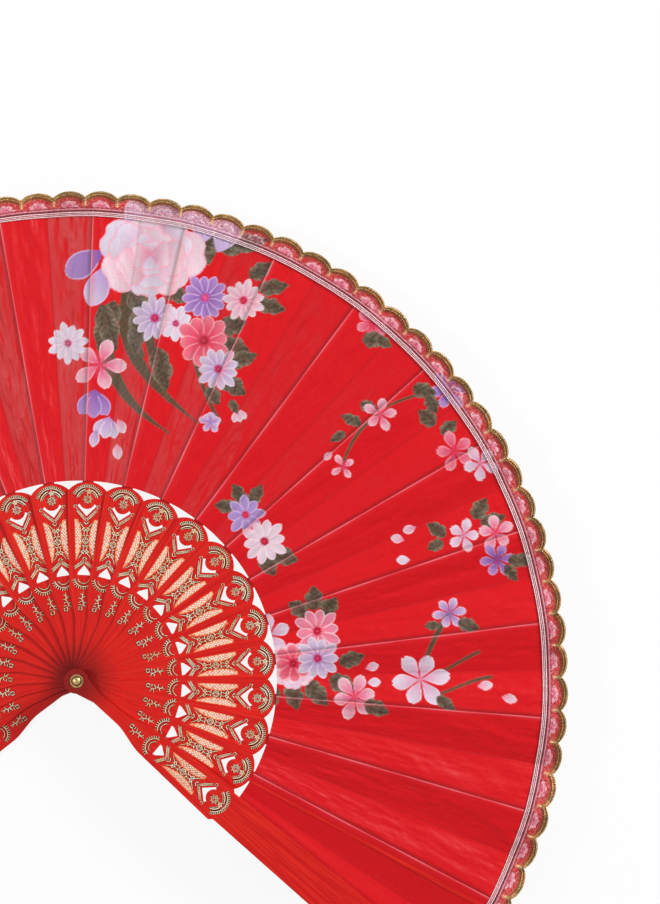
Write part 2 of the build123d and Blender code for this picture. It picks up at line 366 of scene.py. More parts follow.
def stamped_strokes():
    """Every line of one member's stamping, as (points, width share), on the member's own axes."""
    lines = []

    def arc(centre, reach, start, end, count, share):
        lines.append((arc_points(centre, reach, start, end, count), share))

    def pair(points, share):
        lines.extend([(points, share), (mirrored(points), share)])

    def tooth(centre, inner, outer, turn, share):
        ends = [arc_points(centre, reach, turn, turn, 2)[0] for reach in (inner, outer)]
        lines.append((ends, share))

    for start, end in ((20, 340), (200, 520)):
        arc((-0.9, 31.6), 0.85, start, end, 8, 0.9)
    lines.append(([(-0.2, 32.3), (0.5, 33.4), (0.2, 34.9), (-0.4, 36.0), (0.0, 37.4), (0.0, 39.2)], 0.8))
    for foot, tip in (
        ((0.4, 33.2), (1.7, 32.4)),
        ((0.4, 33.8), (1.9, 34.2)),
        ((0.1, 34.8), (-1.5, 34.2)),
        ((-0.3, 35.6), (-1.8, 36.2)),
        ((-0.2, 36.2), (1.3, 37.0)),
        ((0.0, 37.2), (-1.1, 38.2)),
        ((-0.5, 33.0), (-1.7, 33.2)),
    ):
        bend = ((foot[0] + tip[0]) / 2, (foot[1] + tip[1]) / 2 + 0.35)
        lines.append(([foot, bend, tip], 1.1))
    sun = (0.0, 45.4)
    arc(sun, 4.0, 187, 353, 15, 1.1)
    arc(sun, 2.6, 195, 345, 11, 0.8)
    for step in range(13):
        turn = 196 + step * 148 / 12
        tooth(sun, 4.35, 5.3, turn, 0.95)
    for gap in (0.75, 1.9):
        roof = [(-4.3 - gap * 0.2, 48.3 + gap), (-3.0, 49.1 + gap * 1.15), (0.0, 51.1 + gap * 1.35)]
        pair(roof, 0.9)
    for rung in range(1, 9):
        share = rung / 9
        low = (-4.3 * (1 - share), 49.2 + 2.7 * share)
        high = (low[0] * 1.03, low[1] + 1.15)
        pair([low, high], 0.7)
    rose = (0.0, 62.0)
    arc(rose, 1.35, 0, 360, 13, 0.8)
    arc(rose, 0.55, 40, 330, 7, 0.8)
    for petal in range(6):
        turn = petal * 60 + 15
        arc(rose, 0.95, turn, turn + 34, 3, 0.9)
    for side in (1, -1):
        scroll = [(0.0, rose[1] - 1.6 * side), (-0.9, rose[1] - 3.2 * side), (-0.3, rose[1] - 4.6 * side)]
        scroll += [(0.8, rose[1] - 5.4 * side), (2.0, rose[1] - 6.9 * side), (2.9, rose[1] - 8.2 * side)]
        pair(scroll, 0.85)
        for step, (across, out) in enumerate(((0.9, 2.6), (1.3, 4.2), (1.0, 5.8), (0.5, 7.4))):
            foot = (across * 0.35, rose[1] - out * side)
            tip = (across + 0.5, rose[1] - (out + (0.9 if step % 2 else -0.5)) * side)
            pair([foot, tip], 1.1)
    tip_out = 71.7
    for gap in (0.0, 1.15):
        slope = [(0.0, tip_out - gap), (-2.3, tip_out + 2.2 - gap), (-4.9, tip_out + 5.1 - gap)]
        pair(slope, 0.8)
    for rung in range(1, 8):
        low = (-4.6 * rung / 8, tip_out - 1.0 + 4.5 * rung / 8)
        high = (low[0], low[1] + 0.85)
        pair([low, high], 0.65)
    lobe = (0.0, 80.2)
    arc(lobe, 5.9, 22, 158, 17, 0.9)
    for step in range(19):
        turn = 24 + step * 132 / 18
        tooth(lobe, 6.15, 7.15, turn, 0.85)
    for start, end in ((100, 168), (12, 74)):
        arc(lobe, 4.75, start, end, 9, 1.35)
        arc((0.0, 80.0), 4.1, start + 6, end - 4, 8, 0.6)
    heart = (0.2, 80.6)
    arc(heart, 1.5, 0, 360, 13, 0.75)
    arc(heart, 0.6, 30, 320, 7, 0.8)
    for petal in range(8):
        turn = petal * 45
        arc(heart, 1.05, turn, turn + 26, 3, 0.9)
        arc(heart, 2.0, turn, turn + 12, 2, 0.9)
    link = (0.5, 84.0)
    arc(link, 0.8, 0, 360, 9, 0.9)
    for across, out in ((-1.5, 0.4), (1.6, 0.3), (0.2, 1.5), (-0.6, -1.3), (0.9, -1.1)):
        bend = (link[0] + across * 0.6, link[1] + out * 0.6)
        lines.append(([link, bend, (link[0] + across, link[1] + out)], 1.0))
    for across in (-5.2, 5.2):
        arc((across, 77.2), 0.7, 0, 300, 6, 0.7)
    return lines


stroke_points = []
stroke_edges = []
stroke_swell = []
for points, share in stamped_strokes():
    first = len(stroke_points)
    closed = math.dist(points[0], points[-1]) < 1e-6
    for step, (across, out) in enumerate(points):
        stroke_points.append((across / 1000, out / 1000, 0.0))
        at_end = step in (0, len(points) - 1) and not closed
        stroke_swell.append(share * (0.45 if at_end and len(points) > 2 else 1.0))
        if step:
            stroke_edges.append((first + step - 1, first + step))
stroke_mesh = bpy.data.meshes.new("strokes")
stroke_mesh.from_pydata(stroke_points, stroke_edges, [])
stroke_mesh.attributes.new("swell", "FLOAT", "POINT").data.foreach_set("value", stroke_swell)
stamp_sizes = {"Line width": 0.00040, "Shade rim width": 0.00064, "Proud": 0.00007}
finishes = {"Gold": gold_foil, "Shade rim": painted_shade_edge}
stamp = grown("stamp", stroke_mesh, press.tree, press_named, stamp_sizes | finishes)
stamp_mesh = stamp.data
bpy.data.objects.remove(stamp)

FIRST_STICK = 2.7
STICK_THICKNESS = 0.85
guard_top = {"back_guard": 2.2, "front_guard": 26.25}
for member, name in enumerate(member_names):
    top = guard_top.get(name, FIRST_STICK + (member - 1) + STICK_THICKNESS)
    mesh = stamp_mesh.copy()
    turn = math.radians((MEMBERS - 1) * PITCH / 2 - member * PITCH)
    mesh.transform(Matrix.Translation((0, 0, top / 1000)) @ Matrix.Rotation(turn, 4, "Z"))
    mesh.name = "stamping_" + name
    piece = shown("stamping_" + name, mesh)
    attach(piece, name)
bpy.data.meshes.remove(stamp_mesh)


# Rivet and washers: turned brass, with fine rings from the lathe and some tarnish. They are set
# into the guards' counterbores, and the rivet is domed over at both ends.
brass, turned = sight("turned_brass")
place = turned.place()
x, y, z = place.split()
ring = turned.math("SQRT", x * x + y * y) * 1000
lathe_sockets = {"W": ring * 9, "Scale": 1.0, "Detail": 3.0}
lathe = turned.add("ShaderNodeTexNoise", {"noise_dimensions": "1D"}, lathe_sockets)
tarnish = turned.noise(place, 500.0, 4.0)
brass_colour = tarnish.between(0.35, 0.75).mix((0.80, 0.58, 0.26, 1), (0.42, 0.27, 0.11, 1))
brass_bump = turned.bump(0.3, 0.00005, lathe)
turned.finish(brass_colour, 0.22 + 0.3 * tarnish, brass_bump, {"Metallic": 1.0})
for name in ("rivet", "rivet_washer_back", "rivet_washer_front"):
    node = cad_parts[name]
    node.data.materials.clear()
    node.data.materials.append(brass)


# Leaf: one length of thin red printed satin, folded in pleats. Each stretch runs from the raised
# fold at one member down to a valley and up to the next member's fold.
LEAF_INNER = 88.8
LEAF_OUTER = 210.0
FOLD_AHEAD = 0.9
COLUMNS = 89
ROWS = 250

height_inputs = ("First fold", "Left height", "Right height", "Valley height", "Valley drop")
fold_inputs = dict.fromkeys(height_inputs + ("Wrinkle", "Lift", "Seed"), "Float")
leaf_inputs = fold_inputs | dict.fromkeys(("Inner", "Outer", "Scallop"), "Float")
leaf_inputs |= {"Columns": "Int", "Rows": "Int", "Finish": "Material"}


SLIP_TOP = 0.6
LACE_REACH = 215
VALLEY_SOFTNESS = 0.006
SCALLOP_PHASE = 0.2672
SCALLOP_BOW = 1.44
SCALLOP_STRETCH = 1.863
SCALLOP_DROP = 1.236


def on_pleats(grow, wires, across, out):
    """Where a point of the flat leaf lies: across is 0 to 1 from fold to fold, out is in mm."""
    turn = (wires["First fold"] - across * PITCH) * (math.pi / 180)
    off_valley = abs(across * 2 - 1)
    rounded = grow.math("SQRT", off_valley * off_valley + VALLEY_SOFTNESS)
    low = grow.math("MAXIMUM", 1 - rounded, 0.0)
    shaped = grow.math("SQRT", low * low + 0.0009) - 0.03
    right = across > 0.5
    crest = wires["Left height"] + (wires["Right height"] - wires["Left height"]) * right
    share = out / LACE_REACH
    floor_height = wires["Valley height"] - wires["Valley drop"] * share
    height = crest + (floor_height - crest) * shaped
    belly = 4 * off_valley * (1 - off_valley)

    def ripples(per_pleat, per_mm, layer, detail):
        """Random folds, so many across a pleat and so many to a millimetre out."""
        place = {"X": across * per_pleat + wires["Seed"], "Y": out * per_mm, "Z": layer}
        return grow.noise(grow.add("ShaderNodeCombineXYZ", None, place), 1.0, detail)

    slow = ripples(3, 0.022, wires["Seed"] * 3.1, 2.0)
    crinkle = ripples(9, 0.085, wires["Seed"] * 1.7, 3.0)
    near_seam = out.between(188.0, 209.0)
    pucker = ripples(26, 0.05, 4.0, 1.0)
    loose = (slow - 0.5) * 3.6 * share + (crinkle - 0.5) * 1.1 + (pucker - 0.5) * near_seam * 0.5
    height = height + belly * wires["Wrinkle"] * (loose + 0.25 * share)
    reach = out / 1000
    axes = {"X": reach * grow.math("COSINE", turn), "Y": reach * grow.math("SINE", turn)}
    return grow.add("ShaderNodeCombineXYZ", None, axes | {"Z": height / 1000})


pleat, wires, pleat_named = tree_with("pleated_stretch", leaf_inputs)
grid_sockets = {"Size X": 1.0, "Size Y": 1.0, "Vertices X": wires["Columns"], "Vertices Y": wires["Rows"]}
grid = pleat.add("GeometryNodeMeshGrid", None, grid_sockets)
flat_x, flat_y, flat_z = pleat.add("GeometryNodeInputPosition").split()
across = flat_x + 0.5
across = across - 0.35 / (4 * math.pi) * pleat.math("SINE", across * (4 * math.pi))
phase = pleat.math("FRACT", across * 3 + SCALLOP_PHASE)
from_crown = abs(phase - 0.5) * 2
bow = pleat.math("SQRT", pleat.math("MAXIMUM", SCALLOP_BOW - from_crown * from_crown, 0.0))
crown_rise = bow * SCALLOP_STRETCH - SCALLOP_DROP
outer = wires["Outer"] + wires["Scallop"] * crown_rise
out = wires["Inner"] + (outer - wires["Inner"]) * (flat_y + 0.5)
lifted = pleat.add("ShaderNodeCombineXYZ", None, {"Z": wires["Lift"] / 1000})
ends = {0: on_pleats(pleat, wires, across, out), 1: lifted}
spot = pleat.add("ShaderNodeVectorMath", {"operation": "ADD"}, ends)
laid = pleat.add("GeometryNodeSetPosition", None, {"Geometry": grid, "Position": spot})
dressed = pleat.add("GeometryNodeSetMaterial", None, {"Geometry": laid, "Material": wires["Finish"]})
end_tree(pleat, dressed)


def slot_height(member):
    """Height of the cloth's top face on a member's slip, each member 1 mm above the last."""
    on_guards = {0: 2.4, MEMBERS - 1: 23.6}
    return on_guards.get(member, FIRST_STICK + (member - 1) + SLIP_TOP)


def crest_rise(member):
    """How far a member's raised fold stands above its slip."""
    return {MEMBERS - 1: 0.0, MEMBERS - 2: 0.3, MEMBERS - 3: 0.8}.get(member, 1.0)


def stretch_values(member):
    """Heights of one stretch, from member's fold to the next one's."""
    left = slot_height(member) + crest_rise(member)
    right = slot_height(member + 1) + crest_rise(member + 1)
    drop = {0: 1.4, 1: 2.4, 2: 3.4}.get(member, 4.0)
    return {
        "First fold": OPEN_LEFT - PITCH * member + FOLD_AHEAD,
        "Left height": left,
        "Right height": right,
        "Valley height": left,
        "Valley drop": drop,
        "Wrinkle": 0.25 if member in (0, MEMBERS - 2) else 1.0,
        "Seed": 1.37 * member + 0.5,
    }


def share_across(mesh, member):
    """Each point's share of the way from member's fold to the next one's, and its x and y in mm."""
    spots = np.zeros(len(mesh.vertices) * 3, np.float32)
    mesh.vertices.foreach_get("co", spots)
    spots = spots.reshape(-1, 3).astype(float) * 1000
    bearing = np.degrees(np.arctan2(spots[:, 1], spots[:, 0]))
    first = OPEN_LEFT - PITCH * member + FOLD_AHEAD
    return ((first - bearing + 90) % 360 - 90) / PITCH, spots


def fold_with(piece, member):
    """Bakes the piece's placement into its mesh and works out each point's weight towards the next
    member's fold; the weights are not used.
    """
    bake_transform(piece)
    share, spots = share_across(piece.data, member)
    weights = np.clip((share - 0.5) * 2, 0, 1).astype(np.float32)


def soft(depth, blur=0.32):
    """0 to 1 across an edge, depth in mm inside it."""
    return np.clip(depth / blur + 0.5, 0, 1)


PEONY_RIM = (246, 176, 196)
LEAF_DARK = (46, 52, 38)
LEAF_LIGHT = (134, 132, 112)


class Cloth:
    """The printed colour at every point of the leaf, painted in mm on the open fan."""

    def __init__(self, x, y, ground):
        self.x = x
        self.y = y
        self.colour = np.tile(np.array(ground, float), (len(x), 1))

    def near(self, cx, cy, reach, turn=0.0):
        """The points within reach of a place, and where they are from it, along and across turn."""
        here = np.flatnonzero((np.abs(self.x - cx) < reach) & (np.abs(self.y - cy) < reach))
        dx = self.x[here] - cx
        dy = self.y[here] - cy
        c = math.cos(math.radians(turn))
        s = math.sin(math.radians(turn))
        return here, dx * c + dy * s, dy * c - dx * s

    def dab(self, here, share, paint):
        self.colour[here] += share[:, None] * (np.asarray(paint, float) - self.colour[here])

    def petal(self, cx, cy, turn, length, width, root, tip, rim, widest, blunt, line, notch=0.0):
        """One petal from a place outwards, with a pale rim and fine lines along it."""
        here, along, side = self.near(cx, cy, length * 1.05, turn)
        if not len(here):
            return
        part = np.clip(along / length, 0, 1)
        half = width / 2 * np.maximum(np.sin(math.pi * part**widest), 0) ** blunt
        dip = notch * length * np.maximum(0, 1 - np.abs(side) / (0.22 * width))
        depth = np.minimum(np.minimum(half - np.abs(side), along + 0.2), length - dip - along)
        tone = np.array(root) + (np.array(tip) - root) * np.clip(part * 1.15, 0, 1)[:, None]
        veins = 0.5 + 0.5 * np.cos(side * 6)
        flecks = np.sin(along * 5.3 + cx) * np.sin(side * 6.1 + cy)
        tone = tone * (1 - 0.09 * veins * part + 0.035 * flecks - 0.10 * side / width)[:, None]
        self.dab(here, soft(depth), tone)
        self.dab(here, soft(depth) * soft(line - depth, 0.4) * (part > 0.25) * 0.9, rim)

    def heart(self, cx, cy, size, colour):
        """The spiky round middle of a daisy, with dark dots and a light one."""
        here, along, side = self.near(cx, cy, size * 1.5)
        if not len(here):
            return
        off = np.hypot(along, side)
        around = np.arctan2(side, along)
        self.dab(here, soft(size * (0.88 + 0.16 * np.cos(11 * around)) - off), colour)
        dots = (np.cos(9 * around) > 0.2) & (np.abs(off - size * 0.55) < size * 0.2)
        self.dab(here, dots * 0.45, (90, 12, 45))
        self.dab(here, soft(size * 0.22 - off) * 0.55, (235, 110, 130))

    def flower(self, cx, cy, size, petals, kind, turn=0.0, fullness=1.0, widest=1.7, blunt=0.6, notch=0.0):
        """A ring of petals round a heart; the small flowers have none, only their darker roots."""
        root, heart = kind[0], kind[3]
        width = 2 * math.pi * size * 0.72 / petals * fullness
        for step in range(petals):
            length = size * (1 + 0.09 * math.sin(step * 2.4 + cx))
            aim = turn + step * 360 / petals
            self.petal(cx, cy, aim, length, width, *kind[:3], widest, blunt, 0.45, notch)
        if heart is None:
            here, along, side = self.near(cx, cy, size * 0.5)
            off = np.hypot(along, side)
            spokes = 0.5 + 0.5 * np.cos(np.arctan2(side, along) * petals * 2)
            self.dab(here, soft(size * 0.42 - off, size * 0.5) * (0.25 + 0.45 * spokes), root)
        else:
            self.heart(cx, cy, size * 0.21, heart)

    def peony(self, cx, cy, size, turn=0.0, flat=0.0):
        """A full flower, flattened across turn: rings of broad folded petals, pink in their folds."""
        rings = ((1.0, 7, 0.92), (0.78, 6, 0.9), (0.56, 5, 0.85), (0.36, 4, 0.8))
        for number, (share, petals, fullness) in enumerate(rings):
            for step in range(petals):
                lean = number * 31 + step * 360 / petals
                long = size * share * (1 + 0.10 * math.sin(step * 3.1 + number))
                long *= 1 - flat * math.sin(math.radians(lean)) ** 2
                pink = 0.5 + 0.5 * math.sin(step * 1.9 + number * 2.3)
                root = np.array((228, 120, 148)) * pink + np.array((204, 176, 208)) * (1 - pink)
                tip = (226, 220, 238) if (step + number) % 2 else (240, 216, 228)
                wide = 2 * math.pi * long * 0.62 / petals * (1.2 + fullness * 0.3)
                tones = (root, tip, PEONY_RIM)
                self.petal(cx, cy, turn + lean, long, wide, *tones, 1.7, 0.4, 0.75, 0.05)
                here, along, side = self.near(cx, cy, long, turn + lean)
                fold = soft(0.2 - np.abs(side - 0.12 * wide * np.sin(along / long * 4)), 0.5)
                self.dab(here, fold * (along > 0) * (along < long * 0.75) * 0.55, (244, 168, 186))

    def green(self, cx, cy, turn, length, width):
        """A lobed leaf, dark along its rib and grey and mottled towards its edge."""
        here, along, side = self.near(cx, cy, length * 1.05, turn)
        if not len(here):
            return
        part = np.clip(along / length, 0, 1)
        half = width / 2 * np.maximum(np.sin(math.pi * part**0.8), 0) ** 0.75
        half = half * (0.86 + 0.30 * np.abs(np.sin(part * 7.5 + 0.4 * np.sign(side))))
        depth = np.minimum(np.minimum(half - np.abs(side), along), length - along)
        x, y = self.x[here], self.y[here]
        cloud = np.sin(x * 1.1 + 2 * np.sin(y * 0.8)) * np.sin(y * 1.4 - 1.6 * np.sin(x * 0.6))
        fleck = np.sin(x * 4.7 + 3 * np.sin(y * 2.1)) * np.sin(y * 5.9 + 3 * np.sin(x * 1.7))
        ribs = 0.5 + 0.5 * np.sin(along * 2.6 - np.abs(side) * 2.2)
        share = 0.12 + 0.75 * np.clip(np.abs(side) / (width * 0.5), 0, 1) * (0.5 + 0.5 * ribs)
        share = np.clip(share + 0.22 * cloud + 0.16 * fleck, 0, 1)[:, None]
        tone = np.array(LEAF_DARK) + (np.array(LEAF_LIGHT) - LEAF_DARK) * share
        self.dab(here, soft(depth), tone)
        self.dab(here, soft(depth) * soft(0.3 - depth, 0.5) * 0.38, (192, 168, 150))
        self.dab(here, soft(depth) * soft(0.12 - np.abs(side), 0.4) * (part < 0.85) * 0.3, (176, 172, 150))

    def stem(self, points, width, thin=0.45):
        """A smooth stalk or blade through a few places, thinning towards its end."""
        places = np.array(points, float)
        count = 90
        for edge, paint, share_of in ((0.25, (168, 150, 124), 0.3), (0.0, (70, 72, 50), 1.0)):
            for step in range(count):
                share = step / (count - 1)
                work = places
                while len(work) > 1:
                    work = work[:-1] * (1 - share) + work[1:] * share
                size = max(width / 2 * (1 - thin * share**1.4) * (0.93 + 0.07 * math.sin(step * 1.9)), 0.4)
                here, along, side = self.near(work[0][0], work[0][1], size + 1.2)
                mottle = 1 + 0.12 * np.sin(self.x[here] * 2.3 + self.y[here]) * np.sin(self.y[here] * 3.1)
                tone = np.array(paint, float) * mottle[:, None]
                self.dab(here, soft(size + edge - np.hypot(along, side)) * share_of, tone)

    def bell(self, cx, cy, size, turn, kind):
        """A small hanging flower: three petals side by side."""
        for lean in (-28, 28, 0):
            self.petal(cx, cy, turn + lean, size, size * 0.55, *kind[:3], 1.5, 0.7, 0.4)


LILAC = ((176, 140, 200), (214, 202, 226), (242, 224, 240), (206, 32, 92))
PURPLE = ((126, 88, 170), (172, 138, 206), (222, 198, 236), (226, 84, 150))
BLUSH = ((232, 140, 168), (230, 208, 222), (250, 222, 230), (206, 28, 66))
ROSE = ((222, 36, 74), (240, 122, 142), (250, 186, 190), (190, 16, 52))
WHITE = ((226, 190, 214), (226, 222, 238), (240, 226, 240), (196, 60, 120))
OVER_LACE = ((186, 164, 210), (220, 210, 238), (244, 232, 248))
STAR_WHITE = ((214, 160, 190), (228, 218, 236), (246, 222, 232), None)
STAR_BLUSH = ((222, 96, 132), (240, 190, 206), (250, 212, 220), None)
STAR_ROSE = ((214, 60, 96), (236, 138, 160), (248, 170, 182), None)
STAR_LILAC = ((150, 112, 180), (206, 190, 224), (240, 200, 220), None)
STAR_PURPLE = ((122, 84, 166), (178, 148, 212), (236, 170, 200), None)


def print_spray(cloth, turn):
    """One repeat of the printed spray, turned about the rivet."""
    c = math.cos(math.radians(turn))
    s = math.sin(math.radians(turn))

    def at(px, py):
        return px * c - py * s, px * s + py * c

    def flower(px, py, size, petals, kind, spin=0.0, fullness=1.0, widest=1.7, blunt=0.6):
        cloth.flower(*at(px, py), size, petals, kind, spin + turn, fullness, widest, blunt)

    def star(px, py, size, petals, kind, spin=0.0, fullness=0.92):
        cloth.flower(*at(px, py), size, petals, kind, spin + turn, fullness * 0.70, 1.5, 1.0, 0.10)

    def greens(*leaves):
        for px, py, aim, length, width in leaves:
            cloth.green(*at(px, py), aim + turn, length, width)

    def stem(points, width, thin=0.45):
        cloth.stem([at(*point) for point in points], width, thin)

    def petal(px, py, aim, length, width, kind):
        cloth.petal(*at(px, py), aim + turn, length, width, *kind[:3], 1.2, 0.7, 0.4)

    def bell(px, py, size, aim, kind):
        cloth.bell(*at(px, py), size, aim + turn, kind)

    # The great bunch at the top
    stem([(16, 176), (8, 150), (24, 134), (48, 117)], 8.5, thin=0.95)
    stem([(4, 156), (6, 134), (18, 122), (35, 112)], 7.0, thin=0.95)
    stem([(24, 170), (22, 150), (30, 138), (34, 126)], 5.0, thin=0.95)
    stem([(22, 176), (14, 160), (22, 146)], 3.2)
    stem([(40, 165), (44, 144), (52, 126), (58, 118)], 2.2)
    greens(
        (15, 176, -60, 19, 9), (8, 170, -105, 24, 10), (20, 168, -95, 22, 9), (2, 168, -70, 22, 9),
        (28, 150, -75, 20, 9), (41, 190, 18, 12, 9), (44, 194, 45, 16, 11), (52, 196, 10, 24, 9),
        (56, 200, -10, 16, 8), (68, 183, 35, 12, 7), (72, 178, 10, 14, 7), (72, 172, -12, 13, 7),
        (56, 160, 15, 12, 9), (57, 153, -15, 13, 9), (60, 144, 20, 14, 7), (58, 138, -35, 13, 8),
        (52, 134, -60, 10, 6), (30, 176, -20, 13, 7),
    )
    for px, py, aim in ((15, 199, 80), (25, 201, 92), (35, 200, 84), (45, 197, 78), (53, 194, 66)):
        cloth.petal(*at(px, py), aim + turn, 19, 13, *OVER_LACE, 1.4, 0.5, 0.8, 0.06)
    cloth.petal(*at(2, 192), 215 + turn, 20, 12, *PURPLE[:3], 1.4, 0.6, 0.6)
    cloth.petal(*at(4, 186), 250 + turn, 20, 11, PURPLE[1], LILAC[1], PURPLE[2], 1.4, 0.6, 0.6)
    cloth.peony(*at(23.5, 191), 25, turn + 4, 0.27)
    flower(26.5, 163, 10.2, 12, LILAC, 10)
    flower(36, 161, 8, 9, WHITE, 30)
    flower(48.4, 173.3, 10.2, 12, PURPLE, 5, 1.1, 1.9, 0.5)
    flower(65.8, 172.7, 9.2, 11, BLUSH, 12)
    flower(48.8, 154.0, 11.5, 10, ROSE, 8, 1.15, 1.9, 0.5)
    flower(56.0, 141.5, 9.6, 11, LILAC, 20)
    star(3.0, 141.0, 12.5, 5, STAR_BLUSH, 72, 0.8)
    flower(-12, 150, 9, 11, WHITE, 10)
    bell(1.0, 130, 13, -90, PURPLE)
    bell(8.0, 118, 10, -100, LILAC)
    petal(11.8, 117, -60, 7, 4.5, BLUSH)
    petal(2.7, 112, -100, 8, 4.5, LILAC)
    petal(11.9, 106, -80, 7, 4.5, BLUSH)
    bell(55.0, 122, 7, -110, LILAC)
    star(53.5, 117.5, 5.2, 5, STAR_LILAC, 20)
    bell(65.0, 124, 6, -70, BLUSH)
    greens((62, 128, -60, 7, 4))

    # A flower by the seam, and the sprays down the right side
    star(124.0, 165.0, 8.2, 6, STAR_ROSE, 20, 1.0)
    greens((119.5, 157.5, 5, 11, 7), (126, 159, -30, 8, 5))
    stem([(158, 137), (148, 136), (136, 131), (128, 126)], 1.3)
    star(159.5, 137.0, 9.4, 6, STAR_PURPLE, 10, 1.0)
    greens((143, 137, -10, 11, 7), (150, 134, -60, 9, 6), (120, 129, -15, 8, 5))
    stem([(128, 124), (120, 119), (116, 110), (114, 103)], 1.5)
    star(129.2, 124.6, 8.0, 5, STAR_BLUSH, 10, 0.8)
    greens((121, 120, 160, 10, 5), (114, 116, 215, 8, 4))
    star(113.8, 100.5, 6.0, 4, STAR_BLUSH, 215, 0.6)
    petal(108.5, 107, 230, 5, 3, BLUSH)
    greens((154, 121, 140, 10, 7), (157, 117, 45, 9, 6))
    star(163.0, 109.8, 9.2, 5, STAR_ROSE, 40, 0.85)
    star(174.8, 104.8, 8.4, 5, STAR_WHITE, 55, 0.9)
    greens((173, 80, 60, 11, 7), (176, 78, 20, 12, 6), (161, 72, 150, 10, 6), (160, 69, 205, 8, 5))
    star(168.8, 72.4, 7.6, 5, STAR_WHITE, 5, 0.9)
    star(183.0, 74.4, 8.4, 5, STAR_BLUSH, 30, 0.9)
    star(184.4, 62.3, 8.4, 6, STAR_PURPLE, 10, 0.95)
    greens((189, 62, 5, 12, 6), (188, 60, -50, 9, 5))
    petal(147.5, 75, 200, 6, 4, BLUSH)
    petal(142.5, 69, 170, 6, 4, BLUSH)
    petal(145.5, 60.5, 185, 6, 4, WHITE)

    # Daisies beside the lobes
    greens(
        (70, 82, 120, 10, 6), (73, 82, 60, 10, 6), (67, 80, 175, 10, 6), (83, 61, -15, 13, 8),
        (80, 60, -60, 11, 8),
    )
    flower(71.2, 77.0, 8.6, 8, (PURPLE[1], (168, 150, 210), PURPLE[2], ROSE[0]), 8, 0.9, 1.4)
    flower(80.2, 65.6, 10.0, 10, (BLUSH[1], (234, 214, 228), BLUSH[2], BLUSH[3]), 12, 0.95)

    # The low bunch
    greens(
        (101, 34, 150, 10, 7), (104, 36, 95, 11, 8), (108, 34, 55, 10, 7), (95, 4, -75, 13, 8),
        (88, 2, -110, 12, 8), (102, 4, -45, 14, 8), (116, 13, 20, 12, 7), (112, 6, -20, 13, 8),
    )
    star(84.5, 24, 10, 5, STAR_WHITE, 100, 0.9)
    cloth.peony(*at(96, 11), 11.5, turn + 10, 0.1)
    flower(95.7, 12.1, 8.5, 8, ROSE, 8, 1.05, 1.8, 0.5)
    flower(105.7, 26.8, 10.2, 10, (ROSE[1], BLUSH[0], BLUSH[2], ROSE[3]), 12)
    flower(106.4, 14.8, 9.6, 10, LILAC, 3)
    star(123.5, -1.5, 10.5, 6, STAR_BLUSH, 12, 1.0)
    greens((128, -4, -20, 12, 7))
    petal(128, 11, 20, 6, 4, BLUSH)
    petal(129, 5, 5, 6, 4, WHITE)
    stem([(164, 37), (160, 32), (156, 22), (153, 12)], 2.6)
    star(164.1, 37.6, 7.6, 6, STAR_LILAC, 12, 0.95)
    greens((168, 34, -15, 10, 6), (160, 32, 185, 7, 4))
    stem([(178, 21), (170, 17), (162, 10), (155, 8)], 1.3)
    stem([(184, 10), (176, 9), (166, 3), (160, 1)], 1.3)
    star(152.6, 7.4, 13.0, 6, STAR_WHITE, 10, 1.0)
    petal(178, 5.5, 10, 7, 4, BLUSH)
    petal(189, 1.5, -10, 7, 4, BLUSH)
    greens((160, 0, -30, 10, 5))


def to_light(colour):
    """Colours from their written values, 0 to 255, to the light that they send back."""
    share = np.clip(np.asarray(colour, float) / 255, 0, 1)
    return np.where(share <= 0.04045, share / 12.92, ((share + 0.055) / 1.055) ** 2.4)


GROUND = (212, 8, 20)
SPRAY_TURNS = (0.0, 125.0)


def printed(x, y):
    """The print's colour at places on the open fan, in mm."""
    cloth = Cloth(x, y, GROUND)
    for turn in SPRAY_TURNS:
        print_spray(cloth, turn)
    return cloth.colour


def store_colour(mesh, name, colour):
    """Keeps a colour for every point of a mesh."""
    rgba = np.ones((len(colour), 4), np.float32)
    rgba[:, :3] = to_light(colour)
    mesh.attributes.new(name, "FLOAT_COLOR", "POINT").data.foreach_set("color", rgba.ravel())


satin, weave = sight("printed_satin")
place = weave.place()
# The print attribute holds the print together with painted highlights, light bands and shade along the
# folds.
colour_with_painted_light = weave.add("ShaderNodeAttribute", {"attribute_name": "print"}, None, out="Color")
x, y, z = place.split()
bearing = weave.math("ARCTAN2", y, x)
radius = weave.math("SQRT", x * x + y * y)
threads = weave.add("ShaderNodeCombineXYZ", None, {"X": bearing * 420, "Y": radius * 380, "Z": 0.0})
slub = weave.noise(threads, 1.0, 4.0, roughness=0.65)
grain = weave.noise(place, 2600.0, 2.0)
cloudy = weave.noise(place, 38.0, 4.0)
cloth_colour = (slub.between(0.40, 0.72) * 0.16).mix(colour_with_painted_light, (0.92, 0.03, 0.045, 1))
cloth_colour = (grain.between(0.5, 0.8) * 0.12).mix(cloth_colour, (0.30, 0.0, 0.01, 1))
cloth_rough = 0.26 + 0.22 * cloudy + 0.12 * (grain - 0.5)
weave_bump = weave.bump(0.55, 0.00016, slub * 0.8 + grain * 0.5)
gloss = {"Specular IOR Level": 0.26, "Sheen Weight": 0.03, "Sheen Roughness": 0.35}
gloss["Sheen Tint"] = (1.0, 0.55, 0.58, 1)
weave.finish(cloth_colour, cloth_rough, weave_bump, gloss)

blank = bpy.data.meshes.new("blank")
leaf_nodes = ["leaf_end_back"] + [f"leaf_panel_{number:02d}" for number in range(1, STICKS + 1)]
stretches = []
for member in range(MEMBERS - 1):
    settings = stretch_values(member)
    settings |= {"Inner": LEAF_INNER, "Outer": LEAF_OUTER, "Scallop": 0.0, "Lift": 0.0}
    settings |= {"Columns": COLUMNS, "Rows": ROWS, "Finish": satin}
    stretches.append(grown(f"pleat_{member:02d}", blank, pleat.tree, pleat_named, settings))


